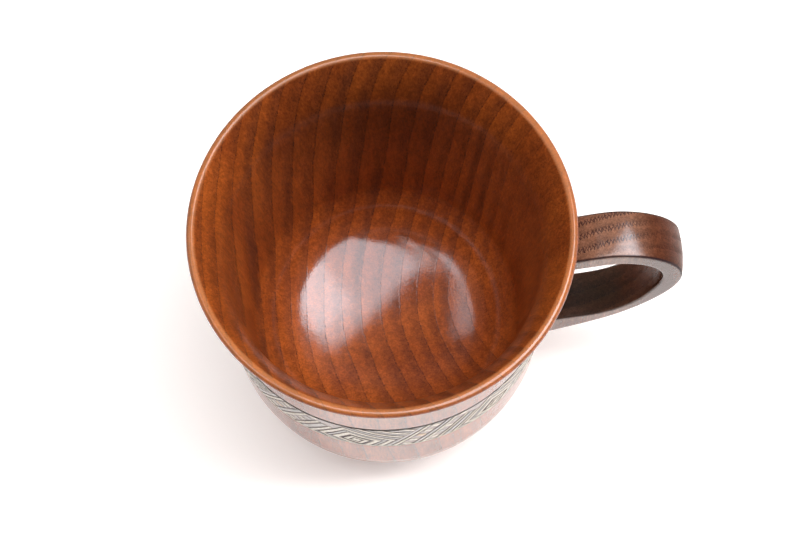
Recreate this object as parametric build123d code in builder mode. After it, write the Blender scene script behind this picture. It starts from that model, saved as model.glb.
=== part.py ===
from build123d import *
import math
import os

# A turned wooden mug: a flared cup with a shallow recess for a patterned band, and a sawn strap
# handle pinned to the wall above and below that band.
# Millimetres. Origin at the centre of the foot, on the cup's axis. +Z up, handle towards +X.

# Cup, outside. The wall between belly and flare is a plain cone.
CUP_HEIGHT = 75.0
RIM_RADIUS = 40.0
LIP_NOSE = 1.0            # radius of the rounded lip
LIP_LEAN = 30.0           # degrees that the wall leans out just under the lip
FLARE_HEIGHT = 64.0       # where the outer wall starts to open out towards the lip
FLARE_RADIUS = 36.9
BELLY_HEIGHT = 24.0       # where the wall turns into the rounded lower corner
BELLY_RADIUS = 34.5
FOOT_RADIUS = 25.0
FOOT_HEIGHT = 4.0
FOOT_RING = 4.5           # width of the ring that the cup stands on
FOOT_RECESS = 1.5
FOOT_EDGE = 0.6           # rounding of the foot's outer edge

# Cup, inside
THROAT_HEIGHT = 66.0      # where the inner wall starts to open out towards the lip
THROAT_RADIUS = 33.8
FLOOR_HEIGHT = 9.0
DISH_RADIUS = 62.0        # the bottom is gently dished
CORNER_RADIUS = 29.0      # where the inner wall would meet the dished bottom if not rounded
CORNER_ROUNDING = 15.0

# Patterned band, let into the straight part of the wall
BAND_BOTTOM = 36.6
BAND_TOP = 52.2
BAND_GAP = 0.5            # narrow gap along the band's upper edge
BAND_THICKNESS = 0.7

# Handle, a strap sawn from a plank and fitted to the wall
HANDLE_WIDTH = 10.3
HANDLE_OUTER_EDGE = 0.9   # rounding of its long outer edges
HANDLE_INNER_EDGE = 0.6
HANDLE_START = 30.0       # the strap is drawn in to this radius, then fitted to the wall

# Wooden pins that join the handle to the wall
DOWEL_RADIUS = 1.5
DOWEL_IN_WALL = 1.8
DOWEL_IN_HANDLE = 4.5
UPPER_DOWEL_HEIGHT = 62.8
LOWER_DOWEL_HEIGHT = 25.0

WALL_SLOPE = (FLARE_RADIUS - BELLY_RADIUS) / (FLARE_HEIGHT - BELLY_HEIGHT)


def wall_radius(height):
    """Outside radius of the cone between belly and flare."""
    return BELLY_RADIUS + WALL_SLOPE * (height - BELLY_HEIGHT)


def dish_height(radius):
    """Height of the dished inside bottom at a radius."""
    return FLOOR_HEIGHT + DISH_RADIUS - math.sqrt(DISH_RADIUS**2 - radius**2)


lean = math.radians(LIP_LEAN)
nose_centre = Vector(RIM_RADIUS - LIP_NOSE, CUP_HEIGHT - LIP_NOSE)
nose_outside = nose_centre + LIP_NOSE * Vector(math.cos(lean), -math.sin(lean))
nose_inside = nose_centre - LIP_NOSE * Vector(math.cos(lean), -math.sin(lean))
nose_top = nose_centre + LIP_NOSE * Vector(math.sin(lean), math.cos(lean))

inside_corner = Vector(CORNER_RADIUS, dish_height(CORNER_RADIUS))
halfway_in = Vector(CORNER_RADIUS / 2, dish_height(CORNER_RADIUS / 2))
throat_slope = (THROAT_RADIUS - inside_corner.X) / (THROAT_HEIGHT - inside_corner.Y)

# ---------------------------------------------------------------------------------------------
# Outside of the cup as a line in (radius, height), from the foot to the lip
# ---------------------------------------------------------------------------------------------
with BuildLine() as outside_line:
    Line((FOOT_RADIUS, 0), (FOOT_RADIUS, FOOT_HEIGHT))
    Spline(
        (FOOT_RADIUS, FOOT_HEIGHT),
        (BELLY_RADIUS, BELLY_HEIGHT),
        tangents=[(1, 0.45), (WALL_SLOPE, 1)],
    )
    Line((BELLY_RADIUS, BELLY_HEIGHT), (FLARE_RADIUS, FLARE_HEIGHT))
    Spline(
        (FLARE_RADIUS, FLARE_HEIGHT),
        nose_outside,
        tangents=[(WALL_SLOPE, 1), (math.sin(lean), math.cos(lean))],
    )

# ---------------------------------------------------------------------------------------------
# Cup body: one turned piece of wood
# ---------------------------------------------------------------------------------------------
with BuildPart() as cup_body:
    with BuildSketch(Plane.XZ) as cup_profile:
        with BuildLine():
            add(outside_line.line)
            ThreePointArc(nose_outside, nose_top, nose_inside)
            Spline(
                nose_inside,
                (THROAT_RADIUS, THROAT_HEIGHT),
                tangents=[(-math.sin(lean), -math.cos(lean)), (-throat_slope, -1)],
            )
            Line((THROAT_RADIUS, THROAT_HEIGHT), inside_corner)
            ThreePointArc(inside_corner, halfway_in, (0, FLOOR_HEIGHT))
            Polyline(
                (0, FLOOR_HEIGHT),
                (0, FOOT_RECESS),
                (FOOT_RADIUS - FOOT_RING, FOOT_RECESS),
                (FOOT_RADIUS - FOOT_RING, 0),
                (FOOT_RADIUS, 0),
            )
        make_face()
        fillet(cup_profile.vertices().sort_by_distance(inside_corner)[0], CORNER_ROUNDING)
    revolve(axis=Axis.Z)
    foot_edges = cup_body.edges().group_by(Axis.Z)[0]
    fillet(foot_edges, FOOT_EDGE)

    # Recess that the band lies in; it is taller than the band by the narrow gap
    with BuildSketch(Plane.XZ):
        with BuildLine():
            recess_top = BAND_TOP + BAND_GAP
            Polyline(
                (wall_radius(BAND_BOTTOM) - BAND_THICKNESS, BAND_BOTTOM),
                (RIM_RADIUS, BAND_BOTTOM),
                (RIM_RADIUS, recess_top),
                (wall_radius(recess_top) - BAND_THICKNESS, recess_top),
                close=True,
            )
        make_face()
    revolve(axis=Axis.Z, mode=Mode.SUBTRACT)

    # Blind holes for the two wooden pins
    for height in (UPPER_DOWEL_HEIGHT, LOWER_DOWEL_HEIGHT):
        with BuildSketch(Plane.YZ.offset(wall_radius(height) - DOWEL_IN_WALL)):
            with Locations((0, height)):
                Circle(DOWEL_RADIUS)
        extrude(amount=DOWEL_IN_WALL + DOWEL_IN_HANDLE, mode=Mode.SUBTRACT)

# ---------------------------------------------------------------------------------------------
# Patterned band: a thin strip that fills the recess flush with the wall
# ---------------------------------------------------------------------------------------------
with BuildPart() as pattern_band:
    with BuildSketch(Plane.XZ):
        with BuildLine():
            Polyline(
                (wall_radius(BAND_BOTTOM) - BAND_THICKNESS, BAND_BOTTOM),
                (wall_radius(BAND_BOTTOM), BAND_BOTTOM),
                (wall_radius(BAND_TOP), BAND_TOP),
                (wall_radius(BAND_TOP) - BAND_THICKNESS, BAND_TOP),
                close=True,
            )
        make_face()
    revolve(axis=Axis.Z)

# ---------------------------------------------------------------------------------------------
# Handle: a sawn strap, thick at both roots, fitted to the outside of the cup
# ---------------------------------------------------------------------------------------------
with BuildPart() as handle:
    with BuildSketch(Plane.XZ):
        with BuildLine():
            outer = Spline(
                (HANDLE_START, 62.2),
                (40.0, 65.6),
                (48.5, 68.0),
                (56.0, 66.1),
                (62.1, 59.8),
                (63.4, 54.0),
                (59.2, 41.0),
                (50.0, 29.5),
                (40.0, 22.1),
                (HANDLE_START, 15.4),
            )
            inner = Spline(
                (HANDLE_START, 24.6),
                (38.7, 29.3),
                (46.7, 32.2),
                (53.2, 38.0),
                (57.7, 47.8),
                (58.7, 55.2),
                (55.5, 60.8),
                (49.5, 62.9),
                (43.0, 61.3),
                (37.0, 59.4),
                (HANDLE_START, 57.6),
            )
            Line(outer @ 0, inner @ 1)
            Line(outer @ 1, inner @ 0)
        make_face()
    extrude(amount=HANDLE_WIDTH / 2, both=True)
    long_edges = handle.edges().filter_by(GeomType.BSPLINE).sort_by(SortBy.LENGTH)
    inner_edges = long_edges[:2]
    outer_edges = long_edges[2:]
    fillet(outer_edges, HANDLE_OUTER_EDGE)
    fillet(inner_edges, HANDLE_INNER_EDGE)

    # Fit both ends to the wall
    with BuildSketch(Plane.XZ):
        with BuildLine():
            add(outside_line.line)
            Polyline(outside_line.line @ 1, (0, CUP_HEIGHT), (0, 0), (FOOT_RADIUS, 0))
        make_face()
    revolve(axis=Axis.Z, mode=Mode.SUBTRACT)

    # Blind holes for the pins
    for height in (UPPER_DOWEL_HEIGHT, LOWER_DOWEL_HEIGHT):
        with BuildSketch(Plane.YZ.offset(wall_radius(height) - DOWEL_IN_WALL)):
            with Locations((0, height)):
                Circle(DOWEL_RADIUS)
        extrude(amount=DOWEL_IN_WALL + DOWEL_IN_HANDLE, mode=Mode.SUBTRACT)

# ---------------------------------------------------------------------------------------------
# Wooden pins
# ---------------------------------------------------------------------------------------------
with BuildPart() as upper_dowel:
    with BuildSketch(Plane.YZ.offset(wall_radius(UPPER_DOWEL_HEIGHT) - DOWEL_IN_WALL)):
        with Locations((0, UPPER_DOWEL_HEIGHT)):
            Circle(DOWEL_RADIUS)
    extrude(amount=DOWEL_IN_WALL + DOWEL_IN_HANDLE)

with BuildPart() as lower_dowel:
    with BuildSketch(Plane.YZ.offset(wall_radius(LOWER_DOWEL_HEIGHT) - DOWEL_IN_WALL)):
        with Locations((0, LOWER_DOWEL_HEIGHT)):
            Circle(DOWEL_RADIUS)
    extrude(amount=DOWEL_IN_WALL + DOWEL_IN_HANDLE)

# ---------------------------------------------------------------------------------------------
# Files
# ---------------------------------------------------------------------------------------------
os.makedirs("parts", exist_ok=True)

cup_body.part.label = "cup_body"
export_step(cup_body.part, "parts/cup_body.step")
handle.part.label = "handle"
export_step(handle.part, "parts/handle.step")
pattern_band.part.label = "pattern_band"
export_step(pattern_band.part, "parts/pattern_band.step")
upper_dowel.part.label = "upper_dowel"
export_step(upper_dowel.part, "parts/upper_dowel.step")
lower_dowel.part.label = "lower_dowel"
export_step(lower_dowel.part, "parts/lower_dowel.step")
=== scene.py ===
import bmesh
import bpy
import math
import numpy as np
from mathutils import Matrix, Vector


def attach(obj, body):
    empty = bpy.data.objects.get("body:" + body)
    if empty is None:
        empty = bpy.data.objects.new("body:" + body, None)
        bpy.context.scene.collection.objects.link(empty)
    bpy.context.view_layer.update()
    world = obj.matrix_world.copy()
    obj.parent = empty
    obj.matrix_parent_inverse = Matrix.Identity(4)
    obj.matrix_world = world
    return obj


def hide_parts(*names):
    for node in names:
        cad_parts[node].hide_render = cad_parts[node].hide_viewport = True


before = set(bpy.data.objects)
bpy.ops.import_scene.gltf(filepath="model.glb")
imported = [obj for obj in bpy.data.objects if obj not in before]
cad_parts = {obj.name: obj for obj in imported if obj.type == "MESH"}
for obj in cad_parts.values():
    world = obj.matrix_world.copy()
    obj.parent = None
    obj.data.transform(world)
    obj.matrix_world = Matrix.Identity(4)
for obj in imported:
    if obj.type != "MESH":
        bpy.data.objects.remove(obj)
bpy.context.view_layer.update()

MM = 0.001

# ------------------------------------------------------------------------------------------------
# Sizes, in millimetres, as in the CAD model except where said
# ------------------------------------------------------------------------------------------------
CUP_HEIGHT = 75.0
RIM_RADIUS = 40.0
LIP_NOSE = 1.0
LIP_LEAN = math.radians(30)
FLARE = (36.9, 64.0)            # radius and height where the outer wall opens out
BELLY = (34.5, 24.0)
FOOT = (25.0, 4.0)
FOOT_RING = 4.5
FOOT_RECESS = 1.5
THROAT = (33.8, 66.0)
LIP_BLEND = 5.5                 # the lip's curve runs out this far below the throat, in the CAD at it
FLOOR_HEIGHT = 9.0
DISH_RADIUS = 62.0
CORNER_RADIUS = 29.0
CORNER_ROUNDING = 15.0
BAND_BOTTOM = 36.6
BAND_TOP = 52.2
BAND_GAP = 0.5
BAND_THICKNESS = 0.7
BAND_HEIGHT = BAND_TOP - BAND_BOTTOM
GROOVE_TOP = BAND_TOP + BAND_GAP
HANDLE_WIDTH = 10.3
HANDLE_EDGE = 0.5               # rounding of its long edges, tighter than in the CAD
WALL_SLOPE = (FLARE[0] - BELLY[0]) / (FLARE[1] - BELLY[1])
TURNS = 288                     # steps round the cup
ON_AXIS = 1e-6                  # a point nearer the axis than this is on it
SHARP_ANGLE = math.radians(35)  # faces that meet at less than this are shaded as one


def wall_radius(height):
    return BELLY[0] + WALL_SLOPE * (height - BELLY[1])


# ------------------------------------------------------------------------------------------------
# Lines in (radius, height)
# ------------------------------------------------------------------------------------------------
def hermite(a, b, ta, tb, steps):
    """Curve from a to b whose end tangents have the chord's length."""
    a, b, ta, tb = Vector(a), Vector(b), Vector(ta).normalized(), Vector(tb).normalized()
    reach = (b - a).length
    out = []
    for i in range(steps + 1):
        t = i / steps
        out.append(
            (2 * t**3 - 3 * t**2 + 1) * a
            + (t**3 - 2 * t**2 + t) * reach * ta
            + (3 * t**2 - 2 * t**3) * b
            + (t**3 - t**2) * reach * tb
        )
    return out


def arc(centre, radius, start, end, steps):
    return [
        Vector((centre[0] + radius * math.cos(start + (end - start) * i / steps),
                centre[1] + radius * math.sin(start + (end - start) * i / steps)))
        for i in range(steps + 1)
    ]


def straight(a, b, steps):
    a, b = Vector(a), Vector(b)
    return [a.lerp(b, i / steps) for i in range(steps + 1)]


def rounded(a, corner, b, radius, steps=4):
    """Points that round a corner between a and b."""
    a, corner, b = Vector(a), Vector(corner), Vector(b)
    u, v = (a - corner).normalized(), (b - corner).normalized()
    half = math.acos(max(-1, min(1, u.dot(v)))) / 2
    reach = radius / math.tan(half)
    p, q = corner + u * reach, corner + v * reach
    out = []
    for i in range(steps + 1):
        t = i / steps
        out.append((1 - t) ** 2 * p + 2 * t * (1 - t) * corner + t * t * q)
    return out


def joined(*runs):
    out = []
    for run in runs:
        for p in run:
            p = Vector(p)
            if not out or (p - out[-1]).length > 1e-4:
                out.append(p)
    return out


nose = Vector((RIM_RADIUS - LIP_NOSE, CUP_HEIGHT - LIP_NOSE))
nose_reach = LIP_NOSE * Vector((math.cos(LIP_LEAN), -math.sin(LIP_LEAN)))
nose_outside = nose + nose_reach
nose_inside = nose - nose_reach


def belly_line(steps):
    return hermite(FOOT, BELLY, (1, 0.45), (WALL_SLOPE, 1), steps)


def flare_line(steps):
    lip_direction = (math.sin(LIP_LEAN), math.cos(LIP_LEAN))
    return hermite(FLARE, nose_outside, (WALL_SLOPE, 1), lip_direction, steps)


def inside_line():
    """The inside from the lip down to the middle of the bottom."""
    dish = Vector((0, FLOOR_HEIGHT + DISH_RADIUS))
    corner = Vector((CORNER_RADIUS, dish.y - math.sqrt(DISH_RADIUS**2 - CORNER_RADIUS**2)))
    down = (corner - Vector(THROAT)).normalized()
    inward = Vector((down.y, -down.x))
    # centre of the corner's rounding, CORNER_ROUNDING from the wall and from the dish
    low, high = 0.0, 40.0
    for _ in range(60):
        s = (low + high) / 2
        centre = corner - down * s + inward * CORNER_ROUNDING
        if (centre - dish).length > DISH_RADIUS - CORNER_ROUNDING:
            low = s
        else:
            high = s
    on_wall = corner - down * s
    on_dish = dish + (centre - dish).normalized() * DISH_RADIUS
    a0 = math.atan2(*(on_wall - centre).yx)
    a1 = math.atan2(*(on_dish - centre).yx)
    d1 = math.atan2(*(on_dish - dish).yx)
    turn_end = Vector(THROAT) + down * LIP_BLEND
    return joined(
        hermite(nose_inside, turn_end, (-math.sin(LIP_LEAN), -math.cos(LIP_LEAN)), down, 26),
        straight(turn_end, on_wall, 16),
        arc(centre, CORNER_ROUNDING, a0, a1, 28),
        arc(dish, DISH_RADIUS, d1, -math.pi / 2, 26),
    )


# ------------------------------------------------------------------------------------------------
# Mesh helpers
# ------------------------------------------------------------------------------------------------
def linked(name, data):
    """A new object in the scene."""
    obj = bpy.data.objects.new(name, data)
    bpy.context.scene.collection.objects.link(obj)
    return obj


def smooth_object(name, mesh):
    mesh.polygons.foreach_set("use_smooth", [True] * len(mesh.polygons))
    mesh.set_sharp_from_angle(angle=SHARP_ANGLE)
    mesh.update()
    return linked(name, mesh)


def mesh_object(name, points, faces):
    mesh = bpy.data.meshes.new(name)
    mesh.from_pydata([Vector(p) * MM for p in points], [], faces)
    mesh.validate()
    return smooth_object(name, mesh)


def finished(obj, material, slot, *nodes):
    """Gives a piece its material and body, and hides the CAD nodes that it replaces."""
    obj.data.materials.append(material)
    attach(obj, "root")
    if nodes:
        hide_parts(*nodes)


def turned(name, profile, closed=False):
    """A turned piece: profile in (radius, height), anticlockwise, about Z."""
    points, rings, faces = [], [], []
    for p in profile:
        if p.x < ON_AXIS:
            rings.append([len(points)] * TURNS)
            points.append((0, 0, p.y))
            continue
        rings.append(list(range(len(points), len(points) + TURNS)))
        for i in range(TURNS):
            a = 2 * math.pi * i / TURNS
            points.append((p.x * math.cos(a), p.x * math.sin(a), p.y))
    pairs = list(zip(rings, rings[1:]))
    if closed:
        pairs.append((rings[-1], rings[0]))
    for low, high in pairs:
        for i in range(TURNS):
            j = (i + 1) % TURNS
            face = [low[i], low[j], high[j], high[i]]
            face = [v for k, v in enumerate(face) if v not in face[:k]]
            if len(face) > 2:
                faces.append(face)
    return mesh_object(name, points, faces)


# ------------------------------------------------------------------------------------------------
# Shader helpers
# ------------------------------------------------------------------------------------------------
RANGE = ("From Min", "From Max", "To Min", "To Max")


class Shader:
    """Short names for the nodes of one material. Lengths are in millimetres."""

    def __init__(self, name):
        self.material = bpy.data.materials.new(name)
        self.material.use_nodes = True
        self.tree = self.material.node_tree
        self.tree.nodes.clear()
        self.out = self.node("ShaderNodeOutputMaterial")
        self.bsdf = self.node("ShaderNodeBsdfPrincipled")
        self.tree.links.new(self.bsdf.outputs[0], self.out.inputs["Surface"])
        place = self.node("ShaderNodeTexCoord").outputs["Object"]
        self.place = self.vector("SCALE", place, scale=1 / MM)

    def node(self, kind, **settings):
        n = self.tree.nodes.new(kind)
        for key, value in settings.items():
            setattr(n, key, value)
        return n

    def put(self, socket, value):
        if isinstance(value, bpy.types.NodeSocket):
            self.tree.links.new(value, socket)
        elif value is not None:
            socket.default_value = value

    def vector(self, operation, a, b=None, scale=None):
        n = self.node("ShaderNodeVectorMath", operation=operation)
        self.put(n.inputs[0], a)
        self.put(n.inputs[1], b)
        if scale is not None:
            self.put(n.inputs["Scale"], scale)
        return n.outputs["Value" if operation in ("LENGTH", "DISTANCE") else "Vector"]

    def math(self, operation, a, b=None, c=None, clamp=False):
        n = self.node("ShaderNodeMath", operation=operation, use_clamp=clamp)
        for socket, value in zip(n.inputs, (a, b, c)):
            self.put(socket, value)
        return n.outputs[0]

    def product(self, first, *others):
        for value in others:
            first = self.math("MULTIPLY", first, value)
        return first

    def swayed(self, value, noise, amount):
        """value, moved up and down with the noise by amount in all."""
        return self.math("ADD", value, self.math("MULTIPLY", self.math("SUBTRACT", noise, 0.5), amount))

    def parts(self, vector):
        n = self.node("ShaderNodeSeparateXYZ")
        self.put(n.inputs[0], vector)
        return n.outputs[0], n.outputs[1], n.outputs[2]

    def joined(self, x, y, z):
        n = self.node("ShaderNodeCombineXYZ")
        for socket, value in zip(n.inputs, (x, y, z)):
            self.put(socket, value)
        return n.outputs[0]

    def noise(self, vector, scale, detail=2.0, roughness=0.5):
        """Noise with one scale, or with one for each axis."""
        if isinstance(scale, tuple):
            vector, scale = self.vector("MULTIPLY", vector, scale), 1.0
        n = self.node("ShaderNodeTexNoise", noise_dimensions="3D")
        self.put(n.inputs["Vector"], vector)
        self.put(n.inputs["Scale"], scale)
        self.put(n.inputs["Detail"], detail)
        self.put(n.inputs["Roughness"], roughness)
        return n.outputs["Fac"]

    def cells(self, vector, scale):
        """Distance to the nearest point of a scatter, and that point's own random number."""
        n = self.node("ShaderNodeTexVoronoi", voronoi_dimensions="3D", feature="F1")
        self.put(n.inputs["Vector"], self.vector("MULTIPLY", vector, scale))
        self.put(n.inputs["Scale"], 1.0)
        return n.outputs["Distance"], self.parts(n.outputs["Color"])[0]

    def step(self, value, start, end, low=0.0, high=1.0):
        """Smooth step from low at start to high at end."""
        n = self.node("ShaderNodeMapRange", interpolation_type="SMOOTHSTEP")
        self.put(n.inputs["Value"], value)
        for key, number in zip(RANGE, (start, end, low, high)):
            self.put(n.inputs[key], number)
        return n.outputs["Result"]

    def mix(self, amount, a, b):
        n = self.node("ShaderNodeMix", data_type="RGBA", clamp_result=False)
        self.put(n.inputs[0], amount)
        for socket, value in ((n.inputs[6], a), (n.inputs[7], b)):
            self.put(socket, value if isinstance(value, bpy.types.NodeSocket) else (*value, 1))
        return n.outputs[2]

    def dim(self, colour, amount):
        """Colour times a number."""
        return self.vector("SCALE", colour, scale=amount)

    def bump(self, height, distance, under=None):
        n = self.node("ShaderNodeBump")
        self.put(n.inputs["Height"], height)
        n.inputs["Distance"].default_value = distance * MM
        n.inputs["Strength"].default_value = 1.0
        self.put(n.inputs["Normal"], under)
        return n.outputs["Normal"]

    def finish(self, colour, roughness, specular, normal=None, coat=0.0, coat_roughness=0.1,
               coat_normal=None):
        b = self.bsdf
        self.put(b.inputs["Base Color"], colour)
        self.put(b.inputs["Roughness"], roughness)
        self.put(b.inputs["Normal"], normal)
        self.put(b.inputs["Specular IOR Level"], specular)
        self.put(b.inputs["Coat Weight"], coat)
        self.put(b.inputs["Coat Roughness"], coat_roughness)
        self.put(b.inputs["Coat Normal"], coat_normal)
        return self.material


# ------------------------------------------------------------------------------------------------
# Wood: growth rings round a leaning pith, pores that run along it
# ------------------------------------------------------------------------------------------------
LIP_WEAR_AND_HIGHLIGHT_COLOUR = (0.56, 0.25, 0.10)  # the lip is rubbed pale, and painted lighter as a highlight
LIP_WEAR_AND_HIGHLIGHT_AMOUNT = 0.30
WALL_MIDDLE = (30.2, 0.077)     # radius of the middle of the wall at height 0, and how it grows
LIP_SPREAD = (64.0, 0.25)       # the height from which it grows faster, and by how much
ROW_START = 98.5                # the handle has no row of pores before this ring
ROW_FADE = (50.0, 58.0)         # where along X the handle's rows fade
STROKE = (1.1, 0.36)            # a zigzag's unevenness and the length of its strokes


def growth(s, ring, line, saw):
    """The broad band and the row of large pores that start a ring, and how far along the ring a point is."""
    x, _, z = s.parts(s.place)
    wander = s.noise(s.place, (0.05, 0.05, 0.018))
    flutter = s.noise(s.place, (0.6, 0.6, 0.10))
    ring = s.swayed(ring, wander, 0.5)
    soft_phase = s.math("FRACT", s.swayed(ring, flutter, 0.30))
    ring = s.swayed(ring, flutter, 0.10)
    if saw:
        wobble = s.noise(s.place, (0.9, 0.9, 0.9), detail=1)
        stroke = s.math("PINGPONG", s.math("MULTIPLY_ADD", wobble, STROKE[0], x), STROKE[1])
        ring = s.math("MULTIPLY_ADD", stroke, saw, ring)
    phase = s.math("FRACT", ring)
    year = s.math("FLOOR", ring)
    # each year's own strength, and how it changes along the grain
    own = s.noise(s.joined(s.math("MULTIPLY", year, 7.31), s.math("MULTIPLY", z, 0.02), 1.9), 1.0, detail=1)
    shade = s.noise(s.place, (0.16, 0.16, 0.03))

    # the band comes up quickly and fades slowly
    early = s.product(
        s.step(soft_phase, 0.0, 0.14), s.step(soft_phase, 0.22, 0.80, 1.0, 0.0),
        s.step(own, 0.35, 0.65, 0.6, 1.0), s.step(shade, 0.3, 0.7, 0.65, 1.15),
    )
    row = s.product(s.step(phase, 0.0, 0.02), s.step(phase, 0.6 * line, 1.3 * line, 1.0, 0.0))
    if saw:
        row = s.product(row, s.step(ring, ROW_START, ROW_START + 0.1), s.step(x, *ROW_FADE, 1.0, 0.15))
    return early, row, soft_phase


def pores(s, local, row, soft_phase, solid):
    """Large pores in the row at the start of each ring, and small ones elsewhere."""
    near, own = s.cells(local, (3.0, 3.0, 0.55))
    large = s.product(s.step(near, 0.25, 0.5, 1.0, solid), row, s.step(own, 0.1, 0.3, 0.3 + 0.7 * solid, 1.0))
    near, own = s.cells(local, (2.9, 2.9, 0.5))
    small = s.product(s.step(near, 0.18, 0.40, 1.0, 0.0), s.step(own, 0.40, 0.6),
                      s.step(soft_phase, 0.05, 0.8, 1.0, 0.35))
    return large, small


def inside_bowl(s, radius, z):
    """1 inside the cup and 0 outside, with the change in the middle of the wall."""
    middle = s.math("MULTIPLY_ADD", z, WALL_MIDDLE[1], WALL_MIDDLE[0])
    above = s.math("MAXIMUM", s.math("SUBTRACT", z, LIP_SPREAD[0]), 0.0)
    middle = s.math("MULTIPLY_ADD", above, LIP_SPREAD[1], middle)
    return s.step(s.math("SUBTRACT", radius, middle), -0.2, 0.2, 1.0, 0.0)


def from_axis(s, local):
    return s.vector("LENGTH", s.vector("MULTIPLY", local, (1.0, 1.0, 0.0)))


def ring_porous_wood(name, place, along, ring_number, pale, middle, dark, pore_colour, coat_roughness,
                     specular, band, line, saw=0.0, solid=0.15, calm=None, painted_shade_spot=None, lip=None,
                     painted_groove_shadow=None, inside_gloss=None, edge=None, end_shade=None):
    """Lacquered wood whose rings start with a row of large pores and a brown band.

    place gives (dx, dy, z) measured from the pith, and ring_number turns that into a ring number.
    along says how close together the fibres lie along each axis.
    band is how brown the broad band is. line is the part of a ring that the row of large pores takes up,
    saw how far, in rings, that row zigzags, and solid how far it runs on between the pores.
    calm gives the distances from the pith between which the rings fade in.
    painted_shade_spot darkens the wood round a point as painted shade: the point, two distances from it and
    the amount.
    lip gives the heights between which the wood turns pale, partly as rubbed wear and partly as a painted
    highlight, and painted_groove_shadow a range of heights painted dark as the groove's shadow.
    inside_gloss is the gloss left inside the cup at glancing angles and near the lip.
    edge darkens the rounded edges at that distance from the middle, as painted shade. end_shade darkens and
    tints the wood along X as painted shade towards the handle's end and takes the gloss off its outer face:
    start, end and tint.
    """
    s = Shader(name)
    x, y, z = s.parts(s.place)
    local = place(s)
    early, row, soft_phase = growth(s, ring_number(s, local), line, saw)
    radius = s.vector("LENGTH", s.joined(x, y, 0.0))
    if inside_gloss:
        # the band is weak outside, on the bottom and high on the wall
        bowl = inside_bowl(s, radius, z)
        early = s.product(early, s.math("MULTIPLY_ADD", bowl, 0.65, 0.35),
                          s.step(z, 11.0, 26.0, 0.75, 1.0), s.step(z, 35.0, 60.0, 1.0, 0.75))
    if calm:
        fade = s.step(from_axis(s, local), *calm, 0.25, 1.0)
        early = s.product(early, fade)
        row = s.product(row, fade)
    large, small = pores(s, local, row, soft_phase, solid)

    # fibres and mottling
    fibre = s.noise(local, along, detail=3, roughness=0.65)
    streak = s.noise(local, tuple(0.3 * c for c in along))
    mottle = s.noise(s.place, (1.5, 1.5, 0.9), detail=3, roughness=0.7)
    figure = s.noise(s.place, (0.07, 0.07, 0.035), detail=3)

    colour = s.mix(s.step(figure, 0.3, 0.7), pale, middle)
    colour = s.mix(s.math("MULTIPLY", early, band, clamp=True), colour, dark)
    colour = s.dim(colour, s.step(fibre, 0.25, 0.75, 0.74, 1.28))
    colour = s.dim(colour, s.step(streak, 0.3, 0.7, 0.88, 1.12))
    colour = s.dim(colour, s.step(mottle, 0.25, 0.75, 0.80, 1.20))
    colour = s.mix(s.math("MULTIPLY", small, 0.55), colour, pore_colour)
    colour = s.mix(s.math("MULTIPLY", large, 0.85, clamp=True), colour, pore_colour)
    # painted shade: the wood is darkened round a given point
    if painted_shade_spot:
        point, near, far, amount = painted_shade_spot
        colour = s.dim(colour, s.step(s.vector("DISTANCE", s.place, point), near, far, amount, 1.0))
    # the lip turns pale: partly rubbed wear, partly a painted highlight
    if lip:
        colour = s.mix(s.step(z, *lip, 0.0, LIP_WEAR_AND_HIGHLIGHT_AMOUNT), colour, LIP_WEAR_AND_HIGHLIGHT_COLOUR)

    shine = 1.0
    # painted shadow: the groove above the band is painted dark and has no coat
    if painted_groove_shadow:
        low, high = painted_groove_shadow
        within = s.product(s.step(z, low - 0.05, low), s.step(z, high, high + 0.05, 1.0, 0.0),
                           s.step(radius, 34.0, 34.5))
        colour = s.mix(within, colour, tuple(0.4 * c for c in pore_colour))
        shine = s.math("SUBTRACT", 1.0, within)
    if inside_gloss:
        facing = s.node("ShaderNodeLayerWeight")
        facing.inputs["Blend"].default_value = 0.5
        glancing = s.step(facing.outputs["Facing"], 0.38, 0.72)
        dull = s.product(s.math("MAXIMUM", glancing, s.step(z, 36.0, 52.0)), bowl)
        shine = s.product(shine, s.math("MULTIPLY_ADD", dull, inside_gloss - 1.0, 1.0))
        shine = s.product(shine, s.math("MULTIPLY_ADD", bowl, 0.18, 0.82))
    # painted shade: the wood darkens towards the handle's outer end, and its outer face there loses gloss
    if end_shade:
        start, end, tint = end_shade
        at_end = s.step(x, start, end)
        colour = s.mix(at_end, colour, s.vector("MULTIPLY", colour, tint))
        outer_face = s.step(s.math("ABSOLUTE", y), edge - 0.12, edge - 0.02, 1.0, 0.0)
        shine = s.math("MULTIPLY_ADD", s.product(at_end, outer_face), -0.75, 1.0)
    # painted shade along the handle's rounded edges
    if edge:
        far = s.math("ABSOLUTE", y)
        rim = s.product(s.step(far, edge - 0.55, edge - 0.3), s.step(far, edge - 0.06, edge - 0.01, 1.0, 0.0))
        colour = s.mix(s.math("MULTIPLY", rim, 0.75), colour, pore_colour)

    # the lacquer dips into the pores
    pits = s.product(s.math("MAXIMUM", large, s.math("MULTIPLY", small, 0.6)), -0.5)
    grit = s.noise(s.place, (2.6, 2.6, 1.6), roughness=0.6)
    film = s.bump(s.noise(s.place, 0.4, detail=1), 0.012)
    film = s.bump(s.math("ADD", pits, grit), 0.02, under=film)
    grain = s.bump(s.math("SUBTRACT", fibre, large), 0.03)
    return s.finish(colour, s.step(early, 0.0, 1.0, 0.42, 0.6), specular, grain,
                    coat=shine, coat_roughness=coat_roughness, coat_normal=film)


PITH = (47.2, 9.3)              # where the pith meets the plane that the cup stands on
PITH_LEAN = (-0.028, -0.1135)   # how far it leans, per millimetre of height
WIDEST = 51.2                   # distance from the pith at which the rings are widest
EVEN_WITHIN = 18.0              # nearer the pith than this from there, the rings are evenly spaced


def from_pith(s):
    x, y, z = s.parts(s.place)
    dx = s.math("SUBTRACT", x, s.math("MULTIPLY_ADD", z, PITH_LEAN[0], PITH[0]))
    dy = s.math("SUBTRACT", y, s.math("MULTIPLY_ADD", z, PITH_LEAN[1], PITH[1]))
    return s.joined(dx, dy, z)


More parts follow.
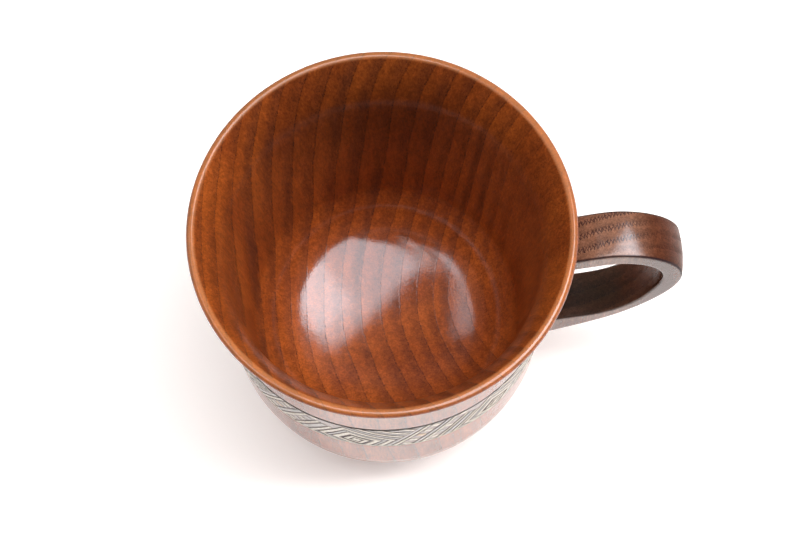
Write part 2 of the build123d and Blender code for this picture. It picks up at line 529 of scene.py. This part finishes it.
def cup_rings(s, local):
    """The rings are 4.6 mm wide where they are widest."""
    offset = s.math("SUBTRACT", from_axis(s, local), WIDEST)
    u = s.math("MAXIMUM", offset, -EVEN_WITHIN)
    within = s.math("MINIMUM", s.math("ADD", offset, EVEN_WITHIN), 0.0)
    cubic = s.product(s.math("POWER", s.math("ABSOLUTE", u), 3.0), 8.63e-5, s.math("SIGN", u))
    number = s.math("ADD", s.math("MULTIPLY_ADD", u, 0.2186, 104.69), cubic)
    return s.math("MULTIPLY_ADD", within, 0.25, number)


cup_wood = ring_porous_wood(
    "lacquered_cup_wood", from_pith, (2.6, 2.6, 0.16), cup_rings,
    pale=(0.312, 0.070, 0.0115), middle=(0.220, 0.045, 0.0085), dark=(0.086, 0.0205, 0.0075),
    pore_colour=(0.028, 0.0085, 0.005), coat_roughness=0.04, specular=0.10,
    # a spot of painted shade high on the back of the inside wall
    band=0.82, line=0.09, solid=0.40, calm=(16.0, 36.0), painted_shade_spot=((-8.0, 36.0, 68.0), 8.0, 36.0, 0.68),
    # the lip is painted pale, as wear and as a highlight
    lip=(74.4, 75.0), painted_groove_shadow=(BAND_TOP, GROOVE_TOP), inside_gloss=0.22,
)


def own_place(s):
    return s.place


def handle_rings(s, local):
    """Flat rings across the handle's width, 3 mm apart, slightly askew."""
    x, y, _ = s.parts(local)
    askew = s.math("MULTIPLY", s.math("SUBTRACT", x, 40.0), -0.17)
    return s.math("MULTIPLY_ADD", s.math("ADD", y, askew), 1 / 3.0, 100.0)


def strap_wood(name, depth, **settings):
    """depth scales the colours: less is darker, as in the copy with painted shade for the handle's inner
    face.
    """
    pale, middle, dark = (
        tuple(depth * c for c in colour)
        for colour in ((0.230, 0.108, 0.0640), (0.165, 0.068, 0.0380), (0.060, 0.024, 0.0150))
    )
    return ring_porous_wood(
        name, own_place, (3.0, 3.0, 0.25), handle_rings, pale=pale, middle=middle, dark=dark,
        pore_colour=(0.010, 0.005, 0.009), coat_roughness=0.22, specular=0.03, band=0.5, **settings,
    )


# the handle darkens towards its end and along its edges as painted shade
handle_wood = strap_wood("lacquered_handle_wood", 1.0, line=0.24, saw=0.9, edge=HANDLE_WIDTH / 2, solid=0.8,
                         end_shade=(50.0, 57.0, (0.45, 0.30, 0.22)))
# a darker copy for the handle's inner face: painted shade where the handle shades itself
handle_wood_painted_shade = strap_wood("lacquered_handle_wood_inside", 0.42, line=0.1)

# ------------------------------------------------------------------------------------------------
# Cup
# ------------------------------------------------------------------------------------------------
ring_inside = FOOT[0] - FOOT_RING
band_start = (wall_radius(BAND_BOTTOM), BAND_BOTTOM)
band_end = (wall_radius(GROOVE_TOP), GROOVE_TOP)
recess_low = (band_start[0] - BAND_THICKNESS, BAND_BOTTOM)
recess_high = (band_end[0] - BAND_THICKNESS, GROOVE_TOP)
cup_profile = joined(
    [(0, FOOT_RECESS)],
    straight((0.4, FOOT_RECESS), (ring_inside - 0.6, FOOT_RECESS), 10),
    rounded((ring_inside - 2, FOOT_RECESS), (ring_inside, FOOT_RECESS), (ring_inside, 0), 0.4),
    rounded((ring_inside, FOOT_RECESS), (ring_inside, 0), (FOOT[0], 0), 0.3),
    straight((ring_inside + 0.5, 0), (FOOT[0] - 0.7, 0), 3),
    rounded((ring_inside, 0), (FOOT[0], 0), FOOT, 0.6, 6),
    rounded((FOOT[0], 0), FOOT, (FOOT[0] + 1, FOOT[1] + 0.45), 0.15),
    belly_line(30)[1:],
    straight(BELLY, band_start, 8)[1:-1],
    rounded(BELLY, band_start, recess_low, 0.12),
    [recess_low, recess_high],
    rounded(recess_high, band_end, FLARE, 0.15),
    straight((wall_radius(GROOVE_TOP + 0.5), GROOVE_TOP + 0.5), FLARE, 6),
    flare_line(16),
    arc(nose, LIP_NOSE, -LIP_LEAN, math.pi - LIP_LEAN, 12),
    inside_line(),
)
finished(turned("cup_body_turned", cup_profile), cup_wood, "cup_wood", "cup_body")

# ------------------------------------------------------------------------------------------------
# Patterned band: a ground ring and the strips let into it
# ------------------------------------------------------------------------------------------------
def inlay(name, pale, dark, roughness=0.45, coat=0.9, fibre_scale=(2.5, 2.5, 0.5)):
    s = Shader(name)
    streak = s.noise(s.place, fibre_scale, detail=3, roughness=0.6)
    patch = s.noise(s.place, 0.35)
    speck, own = s.cells(s.place, (3.0, 3.0, 1.2))
    colour = s.mix(s.step(s.math("ADD", streak, s.math("MULTIPLY", patch, 0.6)), 0.55, 1.05), dark, pale)
    fleck = s.product(s.step(speck, 0.12, 0.3, 1.0, 0.0), s.step(own, 0.6, 0.7))
    colour = s.mix(s.math("MULTIPLY", fleck, 0.5), colour, tuple(0.35 * c for c in dark))
    film = s.bump(s.noise(s.place, 0.8), 0.015)
    return s.finish(colour, roughness, 0.3, s.bump(streak, 0.03), coat=coat, coat_roughness=0.15,
                    coat_normal=film)


band_ground = inlay("band_taupe_wood", (0.22, 0.145, 0.110), (0.13, 0.080, 0.060), roughness=0.5)
band_cream = inlay("band_cream_wood", (0.66, 0.60, 0.46), (0.46, 0.40, 0.29))
band_grey = inlay("band_grey_wood", (0.32, 0.31, 0.28), (0.20, 0.19, 0.17))
band_ochre = inlay("band_ochre_wood", (0.66, 0.42, 0.20), (0.46, 0.27, 0.12))
# the pattern's dark joints, and also the painted shadow line at the top of the band
band_joint_and_shadow = inlay("band_dark_joint_and_painted_shadow", (0.050, 0.035, 0.030), (0.025, 0.017, 0.015), roughness=0.85, coat=0.0)

BAND_MIDDLE = wall_radius((BAND_BOTTOM + BAND_TOP) / 2)
MOTIFS = 7
MOTIF_WIDTH = 2 * math.pi * BAND_MIDDLE / MOTIFS
RISE_LEAN = 0.53                # how far a rising strip leans to the right, per millimetre of height
FALL_DROP = 0.70                # how far a falling strip drops, per millimetre to the right
NEST_HEIGHT = 4.4               # the middle of the nested shapes, above the band's lower edge
NEST_ANGLE = math.radians(-101.3)
BORDER = 0.75                   # plain border above and below the pattern
STRIP_STEP = 0.8                # longest straight piece round the curve
STRIP_DEPTH = 0.12              # how far the strips go into the ground
GROUND_DEPTH = 0.06             # how far the ground lies under the strips' faces
JOINT_DROP = 0.03               # how far the dark joints lie under them
SAME_POINT = 0.002              # points closer than this are joined

# The pattern, in millimetres. Square frames round the nest's middle: kind, inner and outer half width
NEST = (("joint", 0.78, 1.02), ("cream", 1.25, 1.75), ("joint", 2.00, 2.35), ("cream", 2.65, 3.45),
        ("joint", 3.62, 3.80), ("grey", 3.88, 4.34), ("joint", 4.42, 4.60), ("cream", 4.78, 5.50),
        ("joint", 5.60, 5.76))
NEST_CENTRE = 0.7               # half width of the middle square
NEST_EDGE = 5.75                # half width of the whole nest
# Falling strips above and below the nest: kind, distance from its middle and width
FALLING = (("grey", 6.1, 0.7), ("joint", 7.0, 0.16), ("cream", 7.35, 0.75), ("joint", 8.3, 0.16),
           ("grey", 8.8, 0.5), ("cream", 9.7, 0.7), ("joint", 10.6, 0.16), ("grey", 11.1, 0.6),
           ("cream", 12.3, 0.7), ("joint", 13.3, 0.16))
# Rising strips beside the nest, in the same way
RISING = (("grey", 6.05, 0.62), ("joint", 6.85, 0.14), ("cream", 7.15, 0.55), ("joint", 7.85, 0.14),
          ("joint", 10.1, 0.14), ("grey", 10.45, 0.65), ("joint", 11.3, 0.14), ("cream", 11.65, 0.45),
          ("joint", 14.0, 0.14), ("cream", 14.35, 0.45), ("joint", 15.0, 0.14), ("grey", 15.35, 0.9),
          ("joint", 16.5, 0.14), ("cream", 16.85, 0.5))
RISING_REACH = (-12, 18)        # further than the band's edges, where they are cut off
BLOCK_PITCH = 2.9
WIDE_BLOCKS = (8.3, 9.8)        # the columns of blocks between rising strips
NARROW_BLOCKS = (12.4, 13.7)


def slanted_point(s, t):
    """s counts across the rising strips and t across the falling ones."""
    return (s + RISE_LEAN * t, t - FALL_DROP * s)


def slanted(s0, s1, t0, t1):
    return [slanted_point(s0, t0), slanted_point(s1, t0), slanted_point(s1, t1), slanted_point(s0, t1)]


def square(half):
    return [(half, half), (-half, half), (-half, -half), (half, -half)]


def motif():
    """Lists of outlines for one motif, with (0, 0) at the middle of the nested shapes."""
    kinds = {"cream": [], "grey": [], "ochre": [], "joint": []}
    kinds["cream"].append(slanted(-NEST_CENTRE, NEST_CENTRE, -NEST_CENTRE, NEST_CENTRE))
    for kind, half_inside, half_outside in NEST:
        inner, outer = square(half_inside), square(half_outside)
        for i in range(4):
            j = (i + 1) % 4
            kinds[kind].append([slanted_point(*p) for p in (outer[i], outer[j], inner[j], inner[i])])
    for kind, t, width in FALLING:
        kinds[kind].append(slanted(-NEST_EDGE, NEST_EDGE, t, t + width))
        kinds[kind].append(slanted(-NEST_EDGE, NEST_EDGE, -t - width, -t))
    for kind, s, width in RISING:
        kinds[kind].append(slanted(s, s + width, *RISING_REACH))
    for i in range(-4, 8):
        t = BLOCK_PITCH * i
        kinds["ochre" if i % 3 == 0 else "cream"].append(slanted(*WIDE_BLOCKS, t, t + 1.0))
        kinds["grey" if i % 2 else "cream"].append(slanted(*NARROW_BLOCKS, t + 1.2, t + 2.1))
    return kinds


def clipped(outline, axis, limit, keep_above):
    """The part of a convex outline on one side of a line."""
    out = []
    for i, p in enumerate(outline):
        q = outline[(i + 1) % len(outline)]
        dp, dq = p[axis] - limit, q[axis] - limit
        if not keep_above:
            dp, dq = -dp, -dq
        if dp >= 0:
            out.append(p)
        if dp * dq < 0:
            k = dp / (dp - dq)
            out.append((p[0] + (q[0] - p[0]) * k, p[1] + (q[1] - p[1]) * k))
    return out


def on_band(u, v, lift):
    angle = NEST_ANGLE + u / BAND_MIDDLE
    z = BAND_BOTTOM + v
    r = wall_radius(z) + lift
    return (r * math.cos(angle), r * math.sin(angle), z)


def strips(name, outlines, material, lift=0.0):
    mesh = bmesh.new()
    for k in range(MOTIFS):
        for outline in outlines:
            shape = [(k * MOTIF_WIDTH + u, NEST_HEIGHT + v) for u, v in outline]
            shape = clipped(shape, 1, BORDER, True)
            shape = clipped(shape, 1, BAND_HEIGHT - BORDER, False) if shape else []
            if len(shape) < 3:
                continue
            first = min(p[0] for p in shape)
            pieces = math.ceil((max(p[0] for p in shape) - first) / STRIP_STEP)
            for i in range(pieces):
                part = clipped(shape, 0, first + i * STRIP_STEP, True)
                part = clipped(part, 0, first + (i + 1) * STRIP_STEP, False) if part else []
                if len(part) > 2:
                    face = [mesh.verts.new(Vector(on_band(u, v, lift)) * MM) for u, v in part]
                    mesh.faces.new(face)
    inlaid(name, mesh, material)


def lowest_points(face, count):
    first, second, third = sorted(v.index for v in face.verts)[:3]
    return (first * count + second) * count + third


def inlaid(name, mesh, material):
    """Joins the faces and gives them sides that go down into the ground ring."""
    bmesh.ops.remove_doubles(mesh, verts=mesh.verts, dist=SAME_POINT * MM)
    bmesh.ops.dissolve_degenerate(mesh, dist=SAME_POINT * MM, edges=mesh.edges)
    bmesh.ops.recalc_face_normals(mesh, faces=mesh.faces)
    for face in mesh.faces:
        middle = face.calc_center_median()
        if face.normal.dot(Vector((middle.x, middle.y, 0))) < 0:
            face.normal_flip()
    rim = [e for e in mesh.edges if len(e.link_faces) == 1]
    grown = bmesh.ops.extrude_edge_only(mesh, edges=rim)["geom"]
    for v in (g for g in grown if isinstance(g, bmesh.types.BMVert)):
        v.co -= Vector((v.co.x, v.co.y, 0)).normalized() * STRIP_DEPTH * MM
    # The extrusion adds its faces in no fixed order, so all are sorted by their three lowest points.
    mesh.verts.index_update()
    count = len(mesh.verts)
    mesh.faces.sort(key=lambda face: lowest_points(face, count))
    data = bpy.data.meshes.new(name)
    mesh.to_mesh(data)
    mesh.free()
    finished(smooth_object(name, data), material, "band_inlay")


def band_corner(height, depth):
    return Vector((wall_radius(height) - depth, height))


ring = joined(
    [band_corner(BAND_BOTTOM, BAND_THICKNESS)],
    rounded(band_corner(BAND_BOTTOM, BAND_THICKNESS), band_corner(BAND_BOTTOM, 0.0),
            band_corner(BAND_BOTTOM + 0.2, 0.0), 0.05, 2),
    [band_corner(BAND_BOTTOM + 0.12, 0.0), band_corner(BAND_BOTTOM + 0.12, GROUND_DEPTH)],
    straight(band_corner(BAND_BOTTOM + 0.3, GROUND_DEPTH), band_corner(BAND_TOP - 0.3, GROUND_DEPTH), 8),
    [band_corner(BAND_TOP - 0.1, GROUND_DEPTH)],
    rounded(band_corner(BAND_TOP - 0.1, GROUND_DEPTH), band_corner(BAND_TOP, GROUND_DEPTH),
            band_corner(BAND_TOP, BAND_THICKNESS), 0.08, 2),
    [band_corner(BAND_TOP, BAND_THICKNESS)],
)
finished(turned("band_ground_ring", ring, closed=True), band_ground, "band_inlay", "pattern_band")


def border_line(name, low, high, material):
    profile = [band_corner(BAND_BOTTOM + low, STRIP_DEPTH), band_corner(BAND_BOTTOM + low, 0.0),
               band_corner(BAND_BOTTOM + high, 0.0), band_corner(BAND_BOTTOM + high, STRIP_DEPTH)]
    finished(turned(name, profile, closed=True), material, "band_inlay")


border_line("band_lower_line", 0.14, 0.60, band_cream)
# a dark line at the band's top: painted shadow under the edge of the wall above
border_line("band_upper_painted_shadow_line", BAND_HEIGHT - 0.62, BAND_HEIGHT - 0.12, band_joint_and_shadow)
pattern = motif()
strips("band_strips_cream", pattern["cream"], band_cream)
strips("band_strips_grey", pattern["grey"], band_grey)
strips("band_blocks_ochre", pattern["ochre"], band_ochre)
strips("band_joints_dark", pattern["joint"], band_joint_and_shadow, lift=-JOINT_DROP)

# ------------------------------------------------------------------------------------------------
# Handle
# ------------------------------------------------------------------------------------------------
# Outlines in (x, z), from inside the wall above the band to inside it below
HANDLE_OUTSIDE = ((30, 62.2), (40, 65.6), (48.5, 68.0), (56, 66.1), (62.1, 59.8), (63.4, 54.0), (59.2, 41.0),
                  (50, 29.5), (40, 22.1), (30, 15.4))
HANDLE_INSIDE = ((30, 57.6), (37, 59.4), (43, 61.3), (49.5, 62.9), (55.5, 60.8), (58.7, 55.2), (57.7, 47.8),
                 (53.2, 38.0), (46.7, 32.2), (38.7, 29.3), (30, 24.6))
HANDLE_CROWN = 0.5              # the outer face falls away by this towards its edges, in the CAD not at all
HANDLE_STEPS = 220              # along the handle
FINE_STEPS = 1500               # along each outline, before it is fitted to the wall
EDGE_TURN = (0, 18, 36, 54, 72, 90)  # degrees round a rounded edge
SIDE_STEPS = 6
INTO_WALL = 0.02                # the ends go this far into the cup
HALF_WIDTH = HANDLE_WIDTH / 2


def smooth_line(points, steps):
    """Natural cubic spline through the points, by chord length, as evenly spaced points."""
    p = np.array(points, float)
    chord = np.linalg.norm(np.diff(p, axis=0), axis=1)
    knots = np.concatenate([[0], np.cumsum(chord)])
    n = len(p)
    a, rhs = np.eye(n), np.zeros((n, 2))
    for i in range(1, n - 1):
        a[i, i - 1 : i + 2] = chord[i - 1], 2 * (chord[i - 1] + chord[i]), chord[i]
        rhs[i] = 6 * ((p[i + 1] - p[i]) / chord[i] - (p[i] - p[i - 1]) / chord[i - 1])
    bend = np.linalg.solve(a, rhs)
    t = np.linspace(0, knots[-1], 2 * FINE_STEPS)
    i = np.clip(np.searchsorted(knots, t, side="right") - 1, 0, n - 2)
    h, u, w = chord[i][:, None], (knots[i + 1] - t)[:, None], (t - knots[i])[:, None]
    line = (bend[i] * u**3 + bend[i + 1] * w**3) / (6 * h)
    line += (p[i] / h - bend[i] * h / 6) * u + (p[i + 1] / h - bend[i + 1] * h / 6) * w
    along = np.concatenate([[0], np.cumsum(np.linalg.norm(np.diff(line, axis=0), axis=1))])
    even = np.linspace(0, along[-1], steps)
    return np.stack([np.interp(even, along, line[:, k]) for k in (0, 1)], -1)


def normals(line):
    run = np.gradient(line, axis=0)
    run /= np.linalg.norm(run, axis=1)[:, None]
    return np.stack([run[:, 1], -run[:, 0]], -1)


outside_profile = joined(belly_line(60), flare_line(60))
outside_radii = np.array([p.x for p in outside_profile])
outside_heights = np.array([p.y for p in outside_profile])


def across(middle):
    """Places across the width, closer together on the rounded edges."""
    flat_half = HALF_WIDTH - HANDLE_EDGE
    turn = [flat_half + HANDLE_EDGE * math.sin(math.radians(a)) for a in EDGE_TURN]
    flat = [-flat_half + 2 * flat_half * i / middle for i in range(middle + 1)]
    return [-y for y in reversed(turn)] + flat[1:-1] + turn


def drop(y, crown):
    """How far the face has fallen away at y across the width."""
    over = max(0.0, abs(y) - (HALF_WIDTH - HANDLE_EDGE))
    rounding = HANDLE_EDGE - math.sqrt(max(0.0, HANDLE_EDGE**2 - over**2))
    return rounding + crown * (y / HALF_WIDTH) ** 2


def handle_lines():
    """Lines along the handle, in order round its section, and which of them bound the inner face.

    Each is (y, line in x and z).
    """
    outer, inner = (smooth_line(p, FINE_STEPS) for p in (HANDLE_OUTSIDE, HANDLE_INSIDE))
    in_outer, in_inner = normals(outer), -normals(inner)
    lines = [(y, outer + in_outer * drop(y, HANDLE_CROWN)) for y in across(14)]
    top, low = lines[-1][1], inner + in_inner * drop(HALF_WIDTH, 0)
    sides = [top + (low - top) * k / SIDE_STEPS for k in range(1, SIDE_STEPS)]
    lines += [(HALF_WIDTH, line) for line in sides]
    inner_start = len(lines)
    lines += [(y, inner + in_inner * drop(y, 0)) for y in reversed(across(12))]
    inner_lines = range(inner_start, len(lines) - 1)
    lines += [(-HALF_WIDTH, line) for line in reversed(sides)]
    return lines, inner_lines


def fitted_to_wall(y, line):
    """The part of a line outside the cup, as evenly spaced points."""
    gap = np.hypot(line[:, 0], y) - np.interp(line[:, 1], outside_heights, outside_radii) + INTO_WALL
    middle = len(line) // 2
    first = max([i for i in range(middle) if gap[i] <= 0], default=0)
    last = min([i for i in range(middle, len(line)) if gap[i] <= 0], default=len(line) - 1)
    a = first + gap[first] / (gap[first] - gap[first + 1])
    b = last - gap[last] / (gap[last] - gap[last - 1])
    index = np.arange(len(line))
    return [(np.interp(w, index, line[:, 0]), y, np.interp(w, index, line[:, 1]))
            for w in np.linspace(a, b, HANDLE_STEPS)]


def handle_mesh():
    """Points and faces, and 1 for each face on the inner side."""
    lines, inner_lines = handle_lines()
    fitted = [fitted_to_wall(y, line) for y, line in lines]
    count = len(lines)
    points = [line[i] for i in range(HANDLE_STEPS) for line in fitted]
    faces, within = [], []
    for i in range(HANDLE_STEPS - 1):
        for j in range(count):
            k = (j + 1) % count
            within.append(int(j in inner_lines))
            faces.append((i * count + j, i * count + k, (i + 1) * count + k, (i + 1) * count + j))
    for start, flip in ((0, False), ((HANDLE_STEPS - 1) * count, True)):
        centre = len(points)
        points.append(tuple(np.array(points[start:start + count]).mean(axis=0)))
        for j in range(count):
            face = (centre, start + (j + 1) % count, start + j)
            faces.append(face[::-1] if flip else face)
    return points, faces, within + [0] * 2 * count


handle_points, handle_faces, handle_within = handle_mesh()
handle = mesh_object("handle_strap", handle_points, handle_faces)
finished(handle, handle_wood, "handle_wood", "handle")
# the inner face takes the darker copy, painted shade
handle.data.materials.append(handle_wood_painted_shade)
handle.data.polygons.foreach_set("material_index", handle_within)

# ------------------------------------------------------------------------------------------------
# Pins inside the joint, as in the CAD model
# ------------------------------------------------------------------------------------------------
pin_wood = inlay("plain_pin_wood", (0.62, 0.47, 0.30), (0.45, 0.31, 0.18), roughness=0.7, coat=0.0,
                 fibre_scale=(0.3, 3.0, 3.0))
for node in ("upper_dowel", "lower_dowel"):
    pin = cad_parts[node]
    pin.data.materials.clear()
    pin.data.materials.append(pin_wood)

# ------------------------------------------------------------------------------------------------
# Floor, light and camera
# ------------------------------------------------------------------------------------------------
FLOOR_REACH = 4.0               # metres
SHEET_COLOUR = (0.86, 0.81, 0.79)
COLOUR_FADE = (200.0, 600.0)    # millimetres from the cup's axis
GLOW_FADE = (150.0, 500.0)
SHEET_GLOW = 0.37
FAR_COLOUR = (0.40, 0.40, 0.40)

floor_mesh = bpy.data.meshes.new("floor")
floor_corners = [(x * FLOOR_REACH, y * FLOOR_REACH, 0) for x, y in ((-1, -1), (1, -1), (1, 1), (-1, 1))]
floor_mesh.from_pydata(floor_corners, [], [(0, 1, 2, 3)])
floor = linked("floor", floor_mesh)
sheet = Shader("white_sheet")
away = sheet.vector("LENGTH", sheet.place)
sheet.finish(sheet.mix(sheet.step(away, *COLOUR_FADE), SHEET_COLOUR, FAR_COLOUR), 0.9, 0.1)
# The sheet glows near the cup: painted light that brightens the floor round the cup and lights the cup from
# below.
sheet.bsdf.inputs["Emission Color"].default_value = (1.0, 0.97, 0.955, 1)
sheet.put(sheet.bsdf.inputs["Emission Strength"], sheet.step(away, *GLOW_FADE, SHEET_GLOW, 0.0))
floor.data.materials.append(sheet.material)

# A pale band along the horizon, grey walls above it and a dark ceiling, all darker behind the camera
HORIZON_LIGHT = 0.48
WALL_LIGHT = 0.10
CEILING_SHARE = 0.36
BEHIND_SHARE = 0.4
world = bpy.data.worlds.new("studio")
world.use_nodes = True
sky = world.node_tree
surround = sky.nodes["Background"]
surround.inputs["Color"].default_value = (1.0, 0.985, 0.975, 1)
direction = sky.nodes.new("ShaderNodeTexCoord")
split = sky.nodes.new("ShaderNodeSeparateXYZ")
sky.links.new(direction.outputs["Generated"], split.inputs[0])


def sky_fade(axis, *limits):
    """Smooth step along an axis: start, end, and the levels there."""
    fade = sky.nodes.new("ShaderNodeMapRange")
    fade.interpolation_type = "SMOOTHSTEP"
    sky.links.new(split.outputs[axis], fade.inputs["Value"])
    for key, value in zip(RANGE, limits):
        fade.inputs[key].default_value = value
    return fade.outputs["Result"]


def sky_product(a, b):
    node = sky.nodes.new("ShaderNodeMath")
    node.operation = "MULTIPLY"
    sky.links.new(a, node.inputs[0])
    sky.links.new(b, node.inputs[1])
    return node.outputs[0]


by_height = sky_product(sky_fade("Z", 0.16, 0.34, HORIZON_LIGHT, WALL_LIGHT),
                        sky_fade("Z", 0.45, 0.78, 1.0, CEILING_SHARE))
strength = sky_product(by_height, sky_fade("Y", -0.9, 0.0, BEHIND_SHARE, 1.0))
sky.links.new(strength, surround.inputs["Strength"])
bpy.context.scene.world = world


def softbox(name, place, turn, size, radiance, gloss=True, colour=(1, 1, 1)):
    """A flat lamp overhead, facing down, that either shows in gloss or lights the wood and the floor."""
    light = bpy.data.lights.new(name, "AREA")
    light.shape = "RECTANGLE"
    light.size, light.size_y = size
    light.energy = radiance * math.pi * size[0] * size[1]
    light.color = colour
    obj = linked(name, light)
    obj.location = place
    obj.rotation_euler = (0, 0, math.radians(turn))
    obj.visible_diffuse = not gloss
    obj.visible_glossy = gloss


COOL = (0.90, 0.99, 1.08)
softbox("softbox_overhead", (0.45, 0.00, 1.4), 0, (1.7, 0.36), 16.0, gloss=False)
softbox("softbox_side", (1.05, -0.10, 1.1), 0, (0.5, 0.5), 7.0, gloss=False)
softbox("softbox_low", (1.50, 0.10, 0.85), 0, (0.6, 0.6), 12.0, gloss=False)
softbox("softbox_left", (-0.75, 0.0, 1.2), 0, (0.3, 0.4), 11.0, gloss=False)
softbox("reflected_softbox_right", (0.475, -0.185, 1.0), 45, (0.95, 1.10), 7.5, colour=COOL)
softbox("reflected_softbox_core", (0.60, 0.02, 0.99), 45, (0.42, 0.7), 4.8, colour=COOL)
softbox("reflected_softbox_left", (-0.63, 0.04, 1.0), 0, (0.28, 0.86), 3.6, colour=COOL)
softbox("reflected_softbox_middle", (-0.52, -0.28, 1.01), 0, (0.80, 0.42), 1.8, colour=COOL)
softbox("reflected_strip", (-0.26, -0.38, 1.0), 11, (0.07, 0.56), 4.5)

CAMERA_PLACE = (3.42, -162.13, 491.9)
CAMERA_TILT = math.radians(69.77)   # below the horizontal
CAMERA_ROLL = math.radians(-1.77)
LENS = 99.0
SENSOR_WIDTH = 36.0

camera_data = bpy.data.cameras.new("camera")
camera_data.lens = LENS
camera_data.sensor_width = SENSOR_WIDTH
camera_data.clip_start = 0.01
camera = linked("camera", camera_data)
forward = Vector((0, math.cos(CAMERA_TILT), -math.sin(CAMERA_TILT)))
right = Vector((1, 0, 0))
up = right.cross(forward)
turned_right = right * math.cos(CAMERA_ROLL) + up * math.sin(CAMERA_ROLL)
turned_up = up * math.cos(CAMERA_ROLL) - right * math.sin(CAMERA_ROLL)
pose = Matrix((turned_right, turned_up, -forward)).transposed().to_4x4()
pose.translation = Vector(CAMERA_PLACE) * MM
camera.matrix_world = pose
bpy.context.scene.camera = camera
bpy.context.scene.view_settings.view_transform = "Standard"
